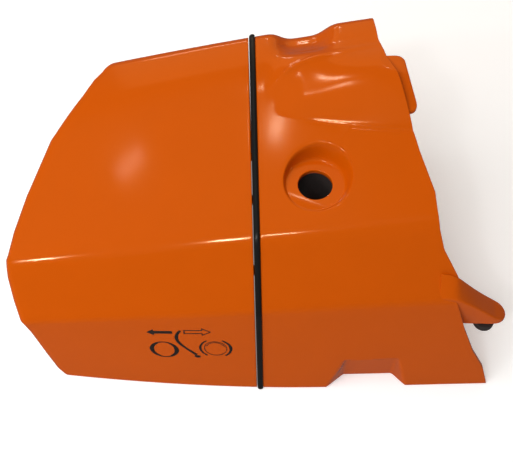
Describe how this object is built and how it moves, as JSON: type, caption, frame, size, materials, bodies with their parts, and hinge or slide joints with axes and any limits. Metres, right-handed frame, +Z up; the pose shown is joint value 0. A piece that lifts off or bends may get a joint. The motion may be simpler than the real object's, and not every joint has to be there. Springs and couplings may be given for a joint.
{
  "type": "air filter housing",
  "caption": "Two-piece chainsaw top housing: closed filter cover, engine shroud, rubber joint seal and the filter assembly inside, with a knob at the rear.",
  "frame": {"origin": "bottom centre of the object's box, on the plane of the lower rim", "axes": "+X towards the front of the shroud, +Y to the far wall, +Z up"},
  "size_m": [0.2216, 0.137, 0.1131],
  "materials": {
    "orange_shell": "glossy moulded orange",
    "seal_rubber": "semi-gloss black",
    "print_ink": "printed black",
    "bush_rubber": "matte black",
    "black_plastic": "fine grain black",
    "grey_plastic": "fine grain grey",
    "knob_plastic": "grained black",
    "manifold_rubber": "matte black",
    "gasket_fibre": "grey fibre sheet",
    "filter_rubber": "soft dark grey",
    "filter_felt": "cream pleated felt",
    "perforated_steel": "perforated sheet",
    "zinc_steel": "zinc plated",
    "brass": "turned brass"
  },
  "bodies": {
    "shroud": {"engine_shroud": "orange_shell", "joint_seal": "seal_rubber", "leg_bush": "bush_rubber", "valve_boot": "bush_rubber", "partition_plate": "black_plastic", "plate_screws": "zinc_steel", "intake_flange": "manifold_rubber", "flange_gasket": "gasket_fibre", "flange_nuts": "zinc_steel", "carburettor_studs": "zinc_steel", "base_gasket": "gasket_fibre", "filter_base": "black_plastic", "base_washers": "zinc_steel", "base_nuts": "zinc_steel", "cover_stud": "zinc_steel", "filter_ring": "filter_rubber", "filter_core": "perforated_steel", "filter_media": "filter_felt", "filter_cap": "filter_rubber", "filter_washer": "zinc_steel", "shutter_pin": "zinc_steel", "rod_grommet": "bush_rubber", "shroud_sleeves": "zinc_steel"},
    "cover": {"filter_cover": "orange_shell", "brake_symbol": "print_ink"},
    "knob": {"cover_knob": "knob_plastic", "knob_insert": "brass", "knob_washer": "bush_rubber", "knob_clip": "zinc_steel"},
    "nut": {"filter_nut": "brass"},
    "shutter": {"preheat_shutter": "grey_plastic"}
  },
  "joints": [
    {"name": "cover_slide", "type": "slide", "parent": "shroud", "child": "cover", "axis": [-1, 0, 0], "range_m": [0, 0.1]},
    {"name": "knob_turn", "type": "hinge", "parent": "cover", "child": "knob", "pos_m": [-0.0906, -0.004, 0.038], "axis": [-1, 0, 0], "continuous": true},
    {"name": "nut_turn", "type": "hinge", "parent": "shroud", "child": "nut", "pos_m": [-0.0726, -0.004, 0.038], "axis": [-1, 0, 0], "continuous": true},
    {"name": "shutter_turn", "type": "hinge", "parent": "shroud", "child": "shutter", "pos_m": [0.0044, 0.038, 0.078], "axis": [-1, 0, 0], "range_deg": [0, 90]}
  ]
}
